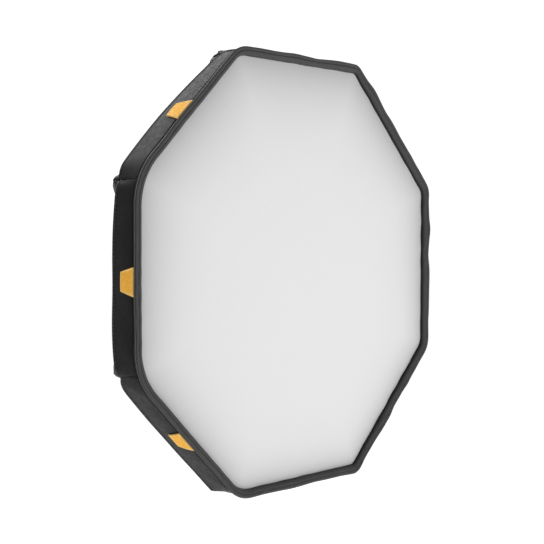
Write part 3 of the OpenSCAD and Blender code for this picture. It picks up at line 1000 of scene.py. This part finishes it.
def make_tape():
    """Hook tape behind the binding, with a fuzzy outer face and a row of stitches."""
    m = 9
    rows = []
    for k in range(m):
        v = k / (m - 1)
        ring = ring_outline(TAPE_APOTHEM, CORNER_FRONT, -2)
        swell = -0.2 * MM * smooth_noise(ring[:, 4], 27) * math.sin(math.pi * v)
        rows.append(np.stack([ring[:, 0] + ring[:, 2] * swell, ring[:, 1] + ring[:, 3] * swell,
                              np.full(len(ring), TAPE_FRONT + (TAPE_BACK - TAPE_FRONT) * v)], axis=-1))
    points = np.array(rows)
    n = points.shape[1]
    flat = np.stack(np.broadcast_arrays(np.linspace(0, 2 * math.pi * TAPE_APOTHEM, n)[None, :],
                                        np.linspace(0, TAPE_FRONT - TAPE_BACK, m)[:, None]), axis=-1)
    row = to_row(points)
    radial = np.stack([ring[:, 2], 0 * ring[:, 2], ring[:, 3]], axis=-1)
    tape = shell("hook_strip", row, flat, 1.0 * MM, 0, True, out=radial[None])
    tape.data.materials.append(PILE)
    path = looped(row[m - 2])
    up = looped(radial)
    join_in(tape, [stitches("tape_thread", path, up, 3.0 * MM, 1.4 * MM, 0.4 * MM, DARK_THREAD)])
    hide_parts("hook_tape")
    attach(tape, "diffuser")
    return tape


# ---------------------------------------------------------------------------------------
# Pull tabs
# ---------------------------------------------------------------------------------------
# How far off the middle of its side each tab is sewn, in millimetres
TAB_SHIFT = {4: 5.5, 5: 4.6, 6: -3.4}
TAB_LENGTH = 0.78 * (TAB_FRONT - TAB_BACK)


def make_tab(i):
    """Trapezoid of amber webbing with a sewn border, lying on side wall i."""
    rows, columns = 15, 17
    s = np.linspace(0, 1, rows)[:, None]
    w = np.linspace(-1, 1, columns)[None, :]
    half = (TAB_ROOT_W + (TAB_END_W - TAB_ROOT_W) * s) / 2
    length = TAB_LENGTH
    depth = TAB_FRONT - s * length + 0.3 * MM * (w ** 2) * s
    y = w * half
    y = y + TAB_SHIFT.get(i, 0.0) * MM
    v = np.clip((BAND_FRONT - depth) / (BAND_FRONT - BAND_BACK), 0, 1)
    top = 1.6 * MM + 0.3 * MM * np.sin(math.pi * s) - 0.15 * MM * np.abs(w) ** 6
    x = APOTHEM + wall_out(i, y / (APOTHEM * math.tan(HALF)), v) + top
    a = side_angle(i)
    points = np.stack([*turned(x, y, a), depth + 0 * w], axis=-1)
    border = np.maximum(np.abs(w) + 0 * s, np.maximum(2 * s - 1, 1 - 2 * s) + 0 * w)
    edge = np.clip((border - 0.78) / 0.1, 0, 1)
    flat = np.stack(np.broadcast_arrays(y, -s * length), axis=-1)
    row = to_row(points)
    out = np.array([math.cos(a), 0, math.sin(a)])
    tab = shell(f"tab_cloth_{i}", row, flat, 1.1 * MM, 0, values={"edge": edge}, out=out)
    tab.data.materials.append(TAB)
    inset = [(r, 1) for r in range(1, rows - 1)] + [(rows - 2, c) for c in range(2, columns - 1)]
    inset += [(r, columns - 2) for r in range(rows - 3, 0, -1)] + [(1, c) for c in range(columns - 3, 0, -1)]
    path = np.array([row[r, c] for r, c in inset])
    sewn = stitches(f"tab_thread_{i}", path, np.repeat(out[None], len(path), 0), 2.0 * MM, 0.9 * MM,
                    0.33 * MM, PALE_THREAD)
    join_in(tab, [sewn])
    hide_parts(f"pull_tab_{i}")
    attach(tab, f"tab_{i}")


# ---------------------------------------------------------------------------------------
# Camera, lights and stage
# ---------------------------------------------------------------------------------------
# The camera stands to the front left, a little above the axis.
CAMERA_FROM_FACE = Vector((-1.0967, -0.9819, 0.0522))
CAMERA_TURN = math.radians(46.764)
CAMERA_TIP = math.radians(2.034)
CAMERA_ROLL = math.radians(-0.102)
CAMERA_LENS = 74.07


def make_camera():
    data = bpy.data.cameras.new("camera")
    data.sensor_width = 36
    data.lens = CAMERA_LENS
    data.clip_start = 0.05
    data.clip_end = 100
    camera = bpy.data.objects.new("camera", data)
    bpy.context.scene.collection.objects.link(camera)
    turn = (Matrix.Rotation(math.pi / 2, 4, "X") @ Matrix.Rotation(-CAMERA_TURN, 4, "Y")
            @ Matrix.Rotation(-CAMERA_TIP, 4, "X") @ Matrix.Rotation(-CAMERA_ROLL, 4, "Z"))
    camera.matrix_world = Matrix.Translation(Vector((0, -FACE, 0)) + CAMERA_FROM_FACE) @ turn
    bpy.context.scene.camera = camera


def area_light(name, place, target, size, power, colour=(1, 1, 1)):
    data = bpy.data.lights.new(name, "AREA")
    data.shape = "RECTANGLE"
    data.size, data.size_y = size
    data.energy = power
    data.color = colour
    lamp = bpy.data.objects.new(name, data)
    bpy.context.scene.collection.objects.link(lamp)
    lamp.location = place
    lamp.rotation_euler = (Vector(target) - Vector(place)).to_track_quat("-Z", "Y").to_euler()


def make_stage():
    """Pale seamless floor, white surroundings and soft studio lights."""
    size, drop = 30.0, 0.75
    corners = [(x * size, y * size, -drop) for x, y in ((-1, -1), (1, -1), (1, 1), (-1, 1))]
    floor = new_object("floor", corners, [[0, 1, 2, 3]], smooth=False)
    n = Nodes("floor_paper")
    n.set(Base_Color=(0.35, 0.35, 0.35, 1), Roughness=0.9)
    n.shader.inputs["Emission Color"].default_value = (1, 1, 1, 1)
    n.shader.inputs["Emission Strength"].default_value = 0.95
    floor.data.materials.append(n.material)
    world = bpy.data.worlds.new("studio")
    world.use_nodes = True
    tree = world.node_tree
    background = tree.nodes["Background"]
    background.inputs["Color"].default_value = (1, 1, 1, 1)
    background.inputs["Strength"].default_value = 0.15
    white = tree.nodes.new("ShaderNodeBackground")
    white.inputs["Color"].default_value = (1, 1, 1, 1)
    white.inputs["Strength"].default_value = 1.1
    path = tree.nodes.new("ShaderNodeLightPath")
    mix = tree.nodes.new("ShaderNodeMixShader")
    tree.links.new(path.outputs["Is Camera Ray"], mix.inputs[0])
    tree.links.new(background.outputs[0], mix.inputs[1])
    tree.links.new(white.outputs[0], mix.inputs[2])
    tree.links.new(mix.outputs[0], tree.nodes["World Output"].inputs["Surface"])
    bpy.context.scene.world = world
    bpy.context.scene.view_settings.view_transform = "Standard"
    area_light("overhead", (-0.2, 0.9, 1.9), (0, -0.1, 0), (2.4, 1.6), 74)
    area_light("front_fill", (0.9, -2.9, 0.5), (0, -0.2, 0), (2.6, 2.2), 18.5)


# ---------------------------------------------------------------------------------------
dress_nodes()
make_camera()
make_stage()
make_panels()
for number in SIDES:
    make_sleeve(number)
    make_gusset(number)
    make_pocket(number)
make_cuff()
rim = make_binding()
tape = make_tape()
white_cloth = make_diffuser()
for number in SIDES:
    make_tab(number)
